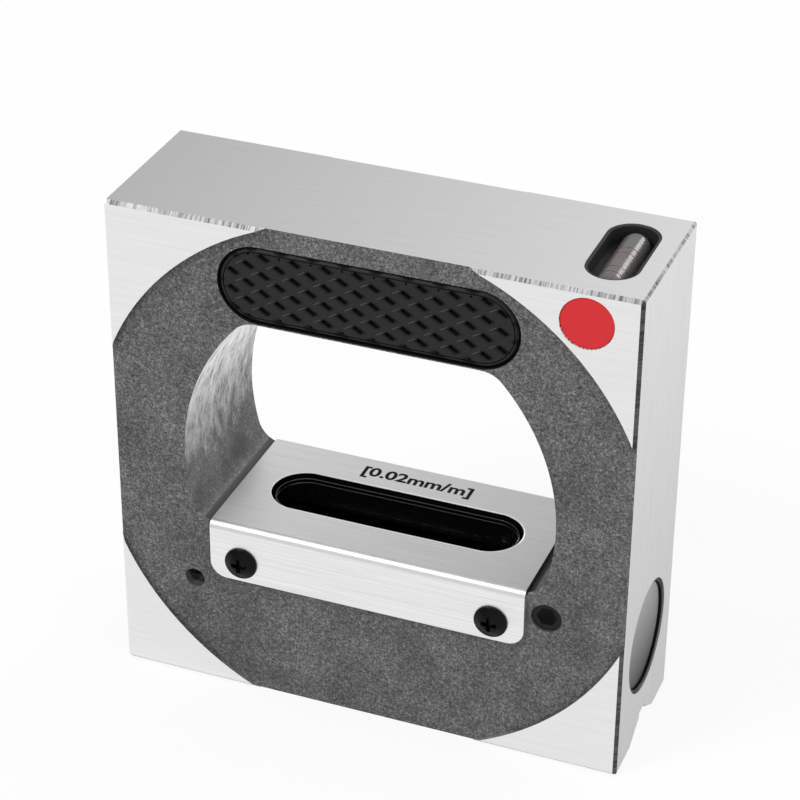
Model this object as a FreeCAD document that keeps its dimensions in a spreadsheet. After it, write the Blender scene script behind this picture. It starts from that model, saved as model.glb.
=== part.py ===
import FreeCAD, Part
import math
import os
import re
import Sketcher

# Square machinist's frame level: a ground cast-iron frame with a hand window, a main vial in
# the bottom bar and a cross vial under a window in the top bar.
# Origin at the middle of the base, +X along the main vial towards the adjusting end,
# -Y out of the operator's face, +Z up. Millimetres.

doc = FreeCAD.newDocument("frame_level")
Vector = FreeCAD.Vector
Rotation = FreeCAD.Rotation

# ------------------------------------------------------------------ driving dimensions
SIZES = [
    # frame casting
    ("frame_side", 150),
    ("frame_depth", 48),
    ("edge_chamfer", 1.0),
    ("cross_chamfer", 0.7),
    ("cast_overrun", 6),
    ("cast_recess", 1.2),
    ("cast_drop", 0.9),
    ("bore_roof", 5.2),
    ("top_bar", 29.7),
    ("window_rise", 0.5),
    ("side_wall", 20.75),
    ("side_bow", 8.55),
    ("window_corner", 8),
    ("vee_width", 24),
    ("vee_angle", 120),
    ("vee_relief_width", 5.5),
    ("vee_relief_depth", 6.9),
    # main vial bore and sleeve
    ("bore_radius", 16.6),
    ("bore_height", 32),
    ("sleeve_gap", 0.1),
    ("sleeve_wall", 0.9),
    ("sleeve_inset", 0.5),
    ("cap_inset", 1.25),
    ("cap_thickness", 1.5),
    ("cap_gap", 0.05),
    ("cap_bevel", 0.3),
    # viewing slot and its liner
    ("slot_length", 75.5),
    ("slot_width", 20.1),
    ("liner_wall", 1.5),
    ("liner_gap", 0.1),
    # cover plate and its screws
    ("plate_length", 93.5),
    ("plate_thickness", 1.5),
    ("bend_radius", 0.6),
    ("plate_seat_depth", 0.3),
    ("plate_seat_room", 0.4),
    ("flange_drop", 18),
    ("flange_corner", 4.8),
    ("screw_spacing", 74.6),
    ("screw_drop", 11.9),
    ("screw_hole_radius", 2.7),
    ("tapped_radius", 2.5),
    ("screw_shank_radius", 2.45),
    ("screw_shank_length", 8),
    ("tapped_depth", 8),
    ("head_radius", 4.85),
    ("head_rim", 0.6),
    ("head_height", 2.1),
    ("head_crown", 2.2),
    ("head_round", 4),
    ("head_rim_round", 0.35),
    ("screw_point", 0.6),
    ("recess_arm", 4.6),
    ("recess_slot", 1.3),
    ("recess_depth", 1.7),
    ("recess_taper", 8),
    # hand grips
    ("grip_length", 84),
    ("grip_height", 21.75),
    ("grip_drop", 17.78),
    ("grip_gap", 0.4),
    ("grip_pocket", 2.2),
    ("grip_pocket_bevel", 0.3),
    ("grip_proud", -0.2),
    ("grip_rim", 0.9),
    ("grip_edge_bevel", 0.5),
    ("field_depth", 0.9),
    ("field_moat", 0.3),
    ("field_root", 0.4),
    ("pit_pitch", 8.9),
    ("pit_row", 5.3),
    ("pit_first", 38),
    ("pit_shift", 3.3),
    ("pit_columns", 9),
    ("pit_run", 1.2),
    ("pit_fall", 0.75),
    ("pit_lean", 0.3),
    ("pit_rise", 0.45),
    ("dot_height", 9.15),
    ("dot_radius", 0.35),
    ("peg_spacing", 50),
    ("peg_radius", 2.5),
    ("peg_length", 5),
    ("peg_gap", 0.05),
    # vial carrier and its pivot
    ("carrier_end_room", 15),
    ("carrier_radius", 10.5),
    ("carrier_bore_radius", 8.1),
    ("sight_length", 72),
    ("sight_width", 13),
    ("pivot_side_distance", 22.4),
    ("pivot_rise", 1.35),
    ("pivot_screw_radius", 3),
    ("pivot_pin_radius", 1.9),
    ("pivot_gap", 0.05),
    ("pivot_sink", 2.6),
    ("pivot_pin_reach", 8.6),
    ("pivot_shoulder", 16.9),
    ("pivot_slot_width", 1),
    ("pivot_slot_depth", 1.2),
    # zero adjuster and spring
    ("adjuster_rise", 15.05),
    ("adjuster_radius", 4.4),
    ("adjuster_gap", 0.05),
    ("adjuster_sink", 0.8),
    ("adjuster_length", 9.5),
    ("adjuster_reach", 3.5),
    ("adjuster_end_room", 1.5),
    ("cam_radius", 2),
    ("cam_throw", 0.6),
    ("cam_gap", 0.12),
    ("key_size", 5.2),
    ("key_depth", 4),
    ("pad_length", 8),
    ("pad_width", 7),
    ("sleeve_opening_room", 0.6),
    ("spring_radius", 2.1),
    ("spring_wire", 0.3),
    ("spring_turns", 4.5),
    ("spring_pocket_room", 0.5),
    ("spring_pocket_depth", 1.5),
    ("spring_top_room", 0.6),
    ("spring_foot_room", 0.35),
    # main vial
    ("vial_radius", 7.5),
    ("vial_end_room", 6.6),
    ("vial_wall", 1.2),
    ("vial_end", 2.5),
    ("bedding_gap", 0.05),
    ("bedding_length", 8),
    ("bedding_inset", 2),
    ("bubble_length", 28),
    ("bubble_radius", 2),
    ("bubble_travel", 14),
    ("bubble_gap", 0.3),
    ("vial_round", 3),
    # cross vial
    ("cross_side_distance", 13),
    ("cross_window_width", 14.7),
    ("cross_window_length", 32.6),
    ("cross_pocket_depth", 14),
    ("holder_gap", 0.05),
    ("holder_wall", 0.8),
    ("holder_inset", 0.3),
    ("cross_vial_depth", 4.7),
    ("cross_vial_radius", 4),
    ("cross_vial_length", 29.2),
    ("cross_vial_wall", 0.8),
    ("cross_vial_end", 2.2),
    ("cross_seat_gap", 0.05),
    ("cross_bubble_length", 7.5),
    ("cross_bubble_radius", 1.2),
    ("cross_bubble_travel", 4),
    ("cross_bubble_gap", 0.25),
    ("cross_bubble_shift", 3),
    ("cross_vial_round", 3.2),
    # red plug and the lock screw behind it
    ("plug_side_distance", 14.8),
    ("plug_drop", 9.3),
    ("plug_radius", 7.43),
    ("plug_gap", 0.05),
    ("plug_thickness", 1.6),
    ("plug_inset", 0.35),
    ("plug_edge", 0.25),
    ("lock_radius", 2),
    ("lock_gap", 0.05),
    ("lock_room", 0.5),
    ("lock_key", 2),
    ("lock_key_depth", 1.5),
    ("fluid_gap", 0.05),
    ("dome_share", 0.95),
]

sheet = doc.addObject("Spreadsheet::Sheet", "sizes")
for row, (alias, value) in enumerate(SIZES, start=1):
    sheet.set("A%d" % row, alias)
    sheet.set("B%d" % row, str(value))
    sheet.setAlias("B%d" % row, alias)
doc.recompute()

# Derived heights and places, each worked out in one cell from the driving dimensions.
DERIVED = [
    ("window_floor", "bore_height + bore_radius + bore_roof"),
    ("window_roof", "frame_side - top_bar"),
    ("window_width", "frame_side - 2 * side_wall"),
    ("window_side_radius", "window_width / 2 + side_bow"),
    ("cast_radius", "frame_side / 2 + cast_overrun"),
    ("window_middle", "frame_side / 2 + window_rise"),
    ("cast_middle", "frame_side / 2 - cast_drop"),
    ("grip_middle", "frame_side - grip_drop"),
    ("carrier_length", "frame_side - 2 * carrier_end_room"),
    ("pivot_offset", "frame_side / 2 - pivot_side_distance"),
    ("pivot_height", "bore_height + pivot_rise"),
    ("adjuster_height", "bore_height + adjuster_rise"),
    ("vial_length", "2 * pivot_offset - 2 * vial_end_room"),
    ("cross_offset", "frame_side / 2 - cross_side_distance"),
    ("cross_vial_height", "frame_side - cross_vial_depth"),
    ("plug_offset", "frame_side / 2 - plug_side_distance"),
    ("plug_height", "frame_side - plug_drop"),
    ("front_cast", "frame_depth / 2 - cast_recess"),
    ("plate_under", "window_floor - plate_seat_depth"),
    ("plate_top", "plate_under + plate_thickness"),
    ("flange_foot", "plate_top - flange_drop"),
    ("screw_height", "plate_top - screw_drop"),
    ("side_arc_shift", "window_side_radius - window_width / 2"),
    ("sleeve_radius", "bore_radius - sleeve_gap"),
    ("sleeve_bore", "sleeve_radius - sleeve_wall"),
    ("casting_slot_width", "slot_width + 2 * liner_wall + 2 * liner_gap"),
    ("casting_slot_length", "slot_length + 2 * liner_wall + 2 * liner_gap"),
    ("pad_top", "adjuster_height - cam_radius - cam_gap"),
    ("carrier_foot", "bore_height - carrier_radius"),
    ("spring_foot", "bore_height - sleeve_bore + spring_foot_room"),
    ("spring_head", "carrier_foot + spring_pocket_depth - spring_top_room"),
    ("vial_bore", "vial_radius - vial_wall"),
    ("vial_cavity", "vial_length - 2 * vial_end"),
    ("bubble_height", "bore_height + vial_bore - bubble_radius - bubble_gap"),
    ("holder_top", "frame_side - holder_inset"),
    ("holder_foot", "frame_side - cross_pocket_depth"),
    ("cross_bore", "cross_vial_radius - cross_vial_wall"),
    ("cross_cavity", "cross_vial_length - 2 * cross_vial_end"),
    ("cross_bubble_height", "cross_vial_height + cross_bore - cross_bubble_radius - cross_bubble_gap"),
    ("lock_tip", "cross_window_length / 2 + lock_gap"),
    ("plug_seat", "frame_depth / 2 - plug_inset - plug_thickness"),
    ("field_length", "grip_length - 2 * grip_rim - 2 * field_moat"),
    ("field_height", "grip_height - 2 * grip_rim - 2 * field_moat"),
]
first_derived = len(SIZES) + 2
for row, (alias, formula) in enumerate(DERIVED, start=first_derived):
    sheet.set("A%d" % row, alias)
    sheet.set("B%d" % row, "=" + formula)
    sheet.setAlias("B%d" % row, alias)
doc.recompute()

KNOWN = {name for name, _ in SIZES + DERIVED}
PIT_ROWS = ("1", "0", "( 0 - 1 )", "( 0 - 2 )")         # rows of pits, counted from pit_shift
STAGGERED_PIT_ROWS = ("0.5", "0 - 0.5", "0 - 1.5")
CLOSE = 0.01                                 # how near two places count as the same
HALF_TURN = 180
QUARTER_TURN = 90
TO_FRONT = Rotation(Vector(1, 0, 0), QUARTER_TURN)     # local +Z turned to -Y
TO_REAR = Rotation(Vector(1, 0, 0), -QUARTER_TURN)     # local +Z turned to +Y
TO_RIGHT = Rotation(Vector(0, 1, 0), QUARTER_TURN)     # local +Z turned to +X
TO_LEFT = Rotation(Vector(0, 1, 0), -QUARTER_TURN)     # local +Z turned to -X


# ------------------------------------------------------------------ helpers
def bound(formula):
    """The formula with each alias written as a cell of the sheet."""
    def cell(word):
        return "sizes." + word.group() if word.group() in KNOWN else word.group()

    return re.sub("[a-z_]+", cell, formula)


def number(formula):
    """The value of a formula of the sheet's aliases."""
    return float(sheet.evalExpression(bound(formula)))


def new_body(label):
    body = doc.addObject("PartDesign::Body", label)
    body.Label = label
    return body


def plane(body, role):
    return [item for item in body.Origin.OriginFeatures if item.Role == role][0]


def new_sketch(body, role, name, offset=None):
    """A sketch on one of the body's own planes, moved along the plane's normal."""
    sketch = body.newObject("Sketcher::SketchObject", name)
    sketch.AttachmentSupport = [(plane(body, role), "")]
    sketch.MapMode = "FlatFace"
    if offset is not None:
        sketch.setExpression("AttachmentOffset.Base.z", bound(offset))
    return sketch


def bind(sketch, kind, formula, *where):
    """A dimension of a sketch, bound to a formula."""
    index = sketch.addConstraint(Sketcher.Constraint(kind, *where, number(formula)))
    name = "%s_%d" % (kind.lower(), index)
    sketch.renameConstraint(index, name)
    sketch.setExpression("Constraints." + name, bound(formula))


def pin_point(sketch, item, point, across, up):
    """Holds a point of the sketch at (across, up) from the origin; "0" lies on the axis."""
    for kind, axis, formula in (("DistanceX", -2, across), ("DistanceY", -1, up)):
        if formula == "0":
            sketch.addConstraint(Sketcher.Constraint("PointOnObject", item, point, axis))
        else:
            bind(sketch, kind, formula, -1, 1, item, point)


def draw_circle(sketch, across, up, radius):
    middle = Vector(number(across), number(up), 0)
    item = sketch.addGeometry(Part.Circle(middle, Vector(0, 0, 1), number(radius)), False)
    bind(sketch, "Radius", radius, item)
    pin_point(sketch, item, 3, across, up)


def draw_polygon(sketch, corners):
    """A closed outline of straight lines through corners given as pairs of formulas."""
    places = [Vector(number(across), number(up), 0) for across, up in corners]
    first = None
    count = len(corners)
    for index in range(count):
        line = Part.LineSegment(places[index], places[(index + 1) % count])
        item = sketch.addGeometry(line, False)
        first = item if first is None else first
    for index in range(count):
        following = first + (index + 1) % count
        sketch.addConstraint(Sketcher.Constraint("Coincident", first + index, 2, following, 1))
        pin_point(sketch, first + index, 1, *corners[index])


def draw_box(sketch, left, right, low, high):
    draw_polygon(sketch, [(left, low), (right, low), (right, high), (left, high)])


def draw_obround(sketch, across, up, length, width, upright=False):
    """A slot outline with full round ends, its length across the sketch or upright in it."""
    reach = "( %s ) / 2 - ( %s ) / 2" % (length, width)
    radius = "( %s ) / 2" % width
    along = Vector(0, 1, 0) if upright else Vector(1, 0, 0)
    side = Vector(1, 0, 0) if upright else Vector(0, -1, 0)
    middle = Vector(number(across), number(up), 0)
    far = middle + along * number(reach)
    near_end = middle - along * number(reach)
    sideways = side * number(radius)
    quarter = math.pi / 2
    begin = 0 if upright else -quarter

    def add_arc(centre, start):
        circle = Part.Circle(centre, Vector(0, 0, 1), number(radius))
        return sketch.addGeometry(Part.ArcOfCircle(circle, start, start + 2 * quarter), False)

    far_arc = add_arc(far, begin)
    near_arc = add_arc(near_end, begin + 2 * quarter)
    out_side = sketch.addGeometry(
        Part.LineSegment(near_end + sideways, far + sideways), False)
    back_side = sketch.addGeometry(
        Part.LineSegment(far - sideways, near_end - sideways), False)
    corners = [(out_side, far_arc), (far_arc, back_side), (back_side, near_arc),
               (near_arc, out_side)]
    for item, following in corners:
        sketch.addConstraint(Sketcher.Constraint("Tangent", item, 2, following, 1))
    bind(sketch, "Radius", radius, far_arc)
    for item, sign in ((far_arc, "+"), (near_arc, "-")):
        if upright:
            pin_point(sketch, item, 3, across, "%s %s ( %s )" % (up, sign, reach))
        else:
            pin_point(sketch, item, 3, "%s %s ( %s )" % (across, sign, reach), up)


def pad(body, sketch, name, length, reverse=False, symmetric=False):
    earlier = body.Tip
    feature = body.newObject("PartDesign::Pad", name)
    feature.Profile = sketch
    feature.setExpression("Length", bound(length))
    feature.SideType = "Symmetric" if symmetric else "One side"
    feature.Reversed = reverse
    return check_change(body, earlier, feature, grows=True)


def pocket(body, sketch, name, length=None, reverse=False, symmetric=False, taper=None):
    earlier = body.Tip
    feature = body.newObject("PartDesign::Pocket", name)
    feature.Profile = sketch
    if length is None:
        feature.Type = "ThroughAll"
    else:
        feature.setExpression("Length", bound(length))
    feature.SideType = "Symmetric" if symmetric else "One side"
    feature.Reversed = reverse
    if taper is not None:
        feature.setExpression("TaperAngle", bound(taper))
    return check_change(body, earlier, feature, grows=False)


def check_change(body, earlier, feature, grows):
    """Recomputes and stops if the feature left the body's volume as it was."""
    before = earlier.Shape.Volume if earlier is not None else 0.0
    doc.recompute()
    change = feature.Shape.Volume - before
    if (change <= 0) if grows else (change >= 0):
        raise RuntimeError("%s.%s changed nothing" % (body.Label, feature.Label))
    return feature


def revolve(body, sketch, name, groove=False):
    earlier = body.Tip
    feature = body.newObject("PartDesign::Groove" if groove else "PartDesign::Revolution", name)
    feature.Profile = sketch
    feature.ReferenceAxis = (sketch, ["V_Axis"])
    return check_change(body, earlier, feature, grows=not groove)


def mirror(body, feature, name, role):
    earlier = body.Tip
    copy = body.newObject("PartDesign::Mirrored", name)
    copy.Originals = [feature]
    copy.MirrorPlane = (plane(body, role), [""])
    body.Tip = copy
    return check_change(body, earlier, copy, grows=volume_grows(feature))


def volume_grows(feature):
    return "Pocket" not in feature.TypeId and "Groove" not in feature.TypeId


def edges_at(feature, test):
    """Names of the edges whose middle point passes the test."""
    names = []
    for index, edge in enumerate(feature.Shape.Edges, start=1):
        low, high = edge.ParameterRange
        middle = edge.valueAt((low + high) / 2)
        if test(edge, middle):
            names.append("Edge%d" % index)
    return names


def dress(body, kind, name, size, test):
    """A fillet or chamfer on the edges of the tip that pass the test."""
    base = body.Tip
    feature = body.newObject("PartDesign::" + kind, name)
    feature.Base = (base, edges_at(base, test))
    feature.setExpression("Radius" if kind == "Fillet" else "Size", bound(size))
    doc.recompute()
    return feature


def near(value, target):
    return abs(value - target) < CLOSE


def place(item, across, depth, up, turn=None):
    """Puts a sub-part at a place bound to the sheet."""
    item.Placement = FreeCAD.Placement(Vector(0, 0, 0), turn or Rotation())
    for axis, formula in (("x", across), ("y", depth), ("z", up)):
        item.setExpression("Placement.Base." + axis, bound(formula))


# ------------------------------------------------------------------ frame casting
def make_frame_body():
    """The casting: square block, window, bore, slot, vee groove, pockets and tapped holes."""
    body = new_body("frame_body")

    block = new_sketch(body, "XZ_Plane", "block_outline")
    draw_box(block, "0 - frame_side / 2", "frame_side / 2", "0", "frame_side")
    pad(body, block, "block", "frame_depth", symmetric=True)

    # the front and rear outlines are eased a little more than the four edges that cross them
    face = number("frame_depth / 2")

    def on_outline(edge, middle):
        return near(abs(middle.y), face)

    def across_thickness(edge, middle):
        return near(middle.y, 0)

    dress(body, "Chamfer", "eased_edges", "edge_chamfer", on_outline)
    dress(body, "Chamfer", "eased_cross_edges", "cross_chamfer", across_thickness)

    # the unground cast faces lie inside a circle that runs off all four edges
    for name, role_side in (("front", True), ("rear", False)):
        face = new_sketch(body, "XZ_Plane", name + "_cast_circle",
                          "frame_depth / 2" if role_side else "0 - frame_depth / 2")
        draw_circle(face, "0", "cast_middle", "cast_radius")
        pocket(body, face, name + "_cast_face", "cast_recess", reverse=not role_side)

    hand_window(body)

    bore = new_sketch(body, "YZ_Plane", "bore_circle")
    draw_circle(bore, "0", "bore_height", "bore_radius")
    pocket(body, bore, "main_bore", "frame_side", symmetric=True)

    vee_groove(body)

    slot = new_sketch(body, "XY_Plane", "slot_outline", "window_floor")
    draw_obround(slot, "0", "0", "casting_slot_length", "casting_slot_width")
    pocket(body, slot, "viewing_slot", "window_floor - bore_height")

    cross = new_sketch(body, "XY_Plane", "cross_pocket_outline", "frame_side")
    draw_obround(cross, "cross_offset", "0", "cross_window_length", "cross_window_width", True)
    pocket(body, cross, "cross_pocket", "cross_pocket_depth")

    side_holes(body)
    return body


def hand_window(body):
    """The hand hole: flat floor and roof between two bowed sides, rounded at the corners."""
    window = new_sketch(body, "XZ_Plane", "window_outline")
    radius, shift = number("window_side_radius"), number("side_arc_shift")
    middle = number("window_middle")
    low, high = number("window_floor"), number("window_roof")

    def reach(level):
        return math.sqrt(radius ** 2 - (level - middle) ** 2) - shift

    def side_arc(sign):
        rise = math.atan2(high - middle, reach(high) + shift)
        drop = math.atan2(low - middle, reach(low) + shift)
        start, end = (drop, rise) if sign > 0 else (math.pi - rise, math.pi - drop)
        circle = Part.Circle(Vector(-sign * shift, middle, 0), Vector(0, 0, 1), radius)
        return window.addGeometry(Part.ArcOfCircle(circle, start, end), False)

    right = side_arc(1)
    left = side_arc(-1)
    roof = window.addGeometry(Part.LineSegment(
        Vector(reach(high), high, 0), Vector(-reach(high), high, 0)), False)
    floor = window.addGeometry(Part.LineSegment(
        Vector(-reach(low), low, 0), Vector(reach(low), low, 0)), False)
    for item, following in ((right, roof), (roof, left), (left, floor), (floor, right)):
        window.addConstraint(Sketcher.Constraint("Coincident", item, 2, following, 1))
    for item in (roof, floor):
        window.addConstraint(Sketcher.Constraint("Horizontal", item))
    for item in (right, left):
        bind(window, "Radius", "window_side_radius", item)
    pin_point(window, right, 3, "0 - side_arc_shift", "window_middle")
    pin_point(window, left, 3, "side_arc_shift", "window_middle")
    bind(window, "DistanceY", "window_roof", -1, 1, roof, 1)
    bind(window, "DistanceY", "window_floor", -1, 1, floor, 1)
    pocket(body, window, "hand_window", "frame_depth", symmetric=True)

    def at_corner(edge, place_on_edge):
        straight = near(edge.Length, number("frame_depth - 2 * cast_recess"))
        level = near(place_on_edge.z, low) or near(place_on_edge.z, high)
        return straight and level and near(place_on_edge.y, 0)

    dress(body, "Fillet", "window_corners", "window_corner", at_corner)

    # the sheet sits in a shallow milled seat whose long edges clear its bends
    seat = new_sketch(body, "XZ_Plane", "plate_seat_outline")
    seat_half = "( plate_length / 2 + plate_seat_room )"
    draw_box(seat, "0 - " + seat_half, seat_half, "plate_under", "window_floor + plate_thickness")
    pocket(body, seat, "plate_seat", "frame_depth", symmetric=True)
    under, cast = number("plate_under"), number("front_cast")

    def at_seat(edge, middle):
        along = near(edge.Length, 2 * number(seat_half))
        return along and near(abs(middle.y), cast) and near(middle.z, under)

    dress(body, "Chamfer", "seat_edges", "bend_radius", at_seat)


def vee_groove(body):
    """The 120 degree groove along the base, with a flat relief at its root."""
    groove = new_sketch(body, "YZ_Plane", "vee_outline")
    flank_top = "( vee_width - vee_relief_width ) / 2 / tan( vee_angle * 0.5 deg )"
    edge, relief = "vee_width / 2", "vee_relief_width / 2"
    draw_polygon(groove, [
        ("0 - " + edge, "0"),
        (edge, "0"),
        (relief, flank_top),
        (relief, "vee_relief_depth"),
        ("0 - " + relief, "vee_relief_depth"),
        ("0 - " + relief, flank_top)])
    pocket(body, groove, "vee_groove", "frame_side", symmetric=True)


def side_holes(body):
    """Tapped holes, pivot and adjuster holes, grip pockets and peg holes, front and rear."""
    screws = new_sketch(body, "XZ_Plane", "plate_screw_circles", "front_cast")
    for side in ("screw_spacing / 2", "0 - screw_spacing / 2"):
        draw_circle(screws, side, "screw_height", "tapped_radius")
    holes = pocket(body, screws, "plate_screw_holes", "tapped_depth")
    mirror(body, holes, "rear_plate_screw_holes", "XZ_Plane")

    pivots = new_sketch(body, "XZ_Plane", "pivot_circle", "front_cast")
    draw_circle(pivots, "0 - pivot_offset", "pivot_height", "pivot_screw_radius")
    pivot = pocket(body, pivots, "pivot_hole", "front_cast")
    mirror(body, pivot, "rear_pivot_hole", "XZ_Plane")

    adjuster = new_sketch(body, "XZ_Plane", "adjuster_circle", "front_cast")
    draw_circle(adjuster, "pivot_offset", "adjuster_height", "adjuster_radius")
    depth = "front_cast + adjuster_reach + adjuster_end_room"
    pocket(body, adjuster, "adjuster_hole", depth)

    grips = new_sketch(body, "XZ_Plane", "grip_pocket_outline", "front_cast")
    draw_obround(grips, "0", "grip_middle", "grip_length + 2 * grip_gap",
                 "grip_height + 2 * grip_gap")
    grip = pocket(body, grips, "grip_pocket", "grip_pocket")
    mirror(body, grip, "rear_grip_pocket", "XZ_Plane")

    face, middle_height = number("front_cast"), number("grip_middle")
    band = number("grip_height / 2 + 2 * grip_gap")

    def pocket_mouth(edge, middle):
        on_face = near(abs(middle.y), face) and near(edge.BoundBox.YLength, 0)
        inside = abs(middle.z - middle_height) < band
        return on_face and inside and abs(middle.x) < number("grip_length / 2 + 2 * grip_gap")

    dress(body, "Chamfer", "pocket_bevels", "grip_pocket_bevel", pocket_mouth)

    pegs = new_sketch(body, "XZ_Plane", "peg_circles", "front_cast - grip_pocket")
    for side in ("peg_spacing / 2", "0 - peg_spacing / 2"):
        draw_circle(pegs, side, "grip_middle", "peg_radius + peg_gap")
    peg = pocket(body, pegs, "peg_holes", "peg_length + peg_gap")
    mirror(body, peg, "rear_peg_holes", "XZ_Plane")

    recess = new_sketch(body, "XZ_Plane", "plug_circle", "frame_depth / 2")
    draw_circle(recess, "plug_offset", "plug_height", "plug_radius")
    pocket(body, recess, "plug_recess", "plug_thickness + plug_inset")
    lock = new_sketch(body, "XZ_Plane", "lock_circle", "frame_depth / 2")
    draw_circle(lock, "plug_offset", "plug_height", "lock_radius + lock_gap")
    pocket(body, lock, "lock_hole", "frame_depth / 2 - cross_window_length / 2 + lock_room")


# ------------------------------------------------------------------ cover plate and screws
def make_cover_plate():
    """A folded sheet saddle: its top shows the vial, its flanges hang over both faces."""
    body = new_body("cover_plate")
    section = new_sketch(body, "YZ_Plane", "fold_section")
    outer = "front_cast + plate_thickness"
    draw_box(section, "0 - ( %s )" % outer, outer, "flange_foot", "plate_top")
    pad(body, section, "folded_block", "plate_length", symmetric=True)

    inside = new_sketch(body, "YZ_Plane", "fold_inside")
    draw_box(inside, "0 - front_cast", "front_cast", "flange_foot", "plate_under")
    pocket(body, inside, "saddle_space", "plate_length + plate_thickness", symmetric=True)

    outer_half, top = number(outer), number("plate_top")
    inner_half, under = number("front_cast"), number("plate_under")

    def outside_bend(edge, middle):
        return near(middle.x, 0) and near(abs(middle.y), outer_half) and near(middle.z, top)

    def inside_bend(edge, middle):
        return near(middle.x, 0) and near(abs(middle.y), inner_half) and near(middle.z, under)

    dress(body, "Fillet", "outside_bends", "bend_radius + plate_thickness", outside_bend)
    dress(body, "Fillet", "inside_bends", "bend_radius", inside_bend)

    foot, end = number("flange_foot"), number("plate_length / 2")

    def flange_tip(edge, middle):
        at_end = near(abs(middle.x), end) and near(middle.z, foot)
        return at_end and near(edge.Length, number("plate_thickness"))

    dress(body, "Fillet", "flange_corners", "flange_corner", flange_tip)

    slot = new_sketch(body, "XY_Plane", "sight_slot_outline", "plate_top")
    draw_obround(slot, "0", "0", "slot_length", "slot_width")
    pocket(body, slot, "sight_slot", "2 * plate_thickness")

    holes = new_sketch(body, "XZ_Plane", "screw_clearance_circles")
    for side in ("screw_spacing / 2", "0 - screw_spacing / 2"):
        draw_circle(holes, side, "screw_height", "screw_hole_radius")
    pocket(body, holes, "screw_clearance_holes", "2 * frame_depth", symmetric=True)
    return body


def make_cover_screw(label, side, front):
    """Pan-head cross-recess screw, its head towards local +Z from the sheet's outer face."""
    body = new_body(label)
    profile = new_sketch(body, "XZ_Plane", "screw_profile")
    draw_polygon(profile, [
        ("0", "0 - plate_thickness - screw_shank_length + screw_point"),
        ("screw_shank_radius - screw_point", "0 - plate_thickness - screw_shank_length + screw_point"),
        ("screw_shank_radius", "0 - plate_thickness - screw_shank_length + 2 * screw_point"),
        ("screw_shank_radius", "0"),
        ("head_radius", "0"),
        ("head_radius", "head_rim"),
        ("head_crown", "head_height"),
        ("0", "head_height")])
    revolve(body, profile, "turned_blank")

    def crown_circle(edge, middle):
        return near(middle.z, number("head_height"))

    def rim_circle(edge, middle):
        return near(middle.z, number("head_rim"))

    dress(body, "Fillet", "domed_crown", "head_round", crown_circle)
    dress(body, "Fillet", "softened_rim", "head_rim_round", rim_circle)

    cross = new_sketch(body, "XY_Plane", "cross_recess_outline", "head_height")
    draw_cross(cross, "recess_arm / 2", "recess_slot / 2")
    pocket(body, cross, "cross_recess", "recess_depth", taper="0 - recess_taper")
    depth = "front_cast + plate_thickness"
    place(body, side, "0 - ( %s )" % depth if front else depth, "screw_height",
          TO_FRONT if front else TO_REAR)
    return body


def draw_cross(sketch, reach, half_slot):
    """A plus-shaped outline about the sketch's origin."""
    back_reach, back_slot = "0 - ( %s )" % reach, "0 - ( %s )" % half_slot
    draw_polygon(sketch, [
        (reach, back_slot), (reach, half_slot), (half_slot, half_slot), (half_slot, reach),
        (back_slot, reach), (back_slot, half_slot), (back_reach, half_slot),
        (back_reach, back_slot), (back_slot, back_slot), (back_slot, back_reach),
        (half_slot, back_reach), (half_slot, back_slot)])


# ------------------------------------------------------------------ hand grips
def make_grip(label, front):
    """A moulded pad with a rim, a field of diamond pyramids and two pegs behind."""
    base = new_body(label + "_base")
    outline = new_sketch(base, "XY_Plane", "pad_outline")
    draw_obround(outline, "0", "0", "grip_length", "grip_height")
    pad(base, outline, "grip_pad", "grip_pocket + grip_proud")
    top = number("grip_pocket + grip_proud")

    def front_rim(edge, middle):
        return near(middle.z, top)

    dress(base, "Chamfer", "rim_bevel", "grip_edge_bevel", front_rim)

    field = new_sketch(base, "XY_Plane", "field_outline", "grip_pocket + grip_proud")
    draw_obround(field, "0", "0", "grip_length - 2 * grip_rim", "grip_height - 2 * grip_rim")
    pocket(base, field, "sunk_field", "field_depth")

    pegs = new_sketch(base, "XY_Plane", "peg_outline")
    for side in ("peg_spacing / 2", "0 - peg_spacing / 2"):
        draw_circle(pegs, side, "0", "peg_radius")
    pad(base, pegs, "pegs", "peg_length", reverse=True)

    relief = make_relief(label + "_relief")
    grip = doc.addObject("Part::Fuse", label)
    grip.Label = label
    grip.Base = base
    grip.Tool = relief
    doc.recompute()
    place(grip, "0", "0 - ( front_cast - grip_pocket )" if front else "front_cast - grip_pocket",
          "grip_middle", TO_FRONT if front else TO_REAR)
    return grip


def make_relief(label):
    """The moulded field of the pad: staggered slanting pits that give the fingers hold."""
    relief = new_body(label)
    field = new_sketch(relief, "XY_Plane", "relief_outline",
                       "grip_pocket + grip_proud - field_depth - field_root")
    draw_obround(field, "0", "0", "field_length", "field_height")
    pad(relief, field, "relief_block", "field_depth + field_root")

    column = new_sketch(relief, "XY_Plane", "pit_column", "grip_pocket + grip_proud")
    for row in PIT_ROWS:
        draw_pit(column, "0 - pit_first", "pit_shift + %s * pit_row" % row)
    for row in STAGGERED_PIT_ROWS:
        draw_pit(column, "pit_pitch / 2 - pit_first", "pit_shift + ( %s ) * pit_row" % row)
    for side in ("", "0 - "):
        draw_circle(column, "pit_pitch / 2 - pit_first", side + "dot_height", "dot_radius")
    cut = pocket(relief, column, "pit_column_cut", "field_depth")
    rows = relief.newObject("PartDesign::LinearPattern", "pit_columns")
    rows.Originals = [cut]
    rows.Direction = (column, ["H_Axis"])
    rows.setExpression("Length", bound("( pit_columns - 1 ) * pit_pitch"))
    rows.setExpression("Occurrences", bound("pit_columns"))
    relief.Tip = rows
    check_change(relief, cut, rows, grows=False)
    return relief


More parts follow.
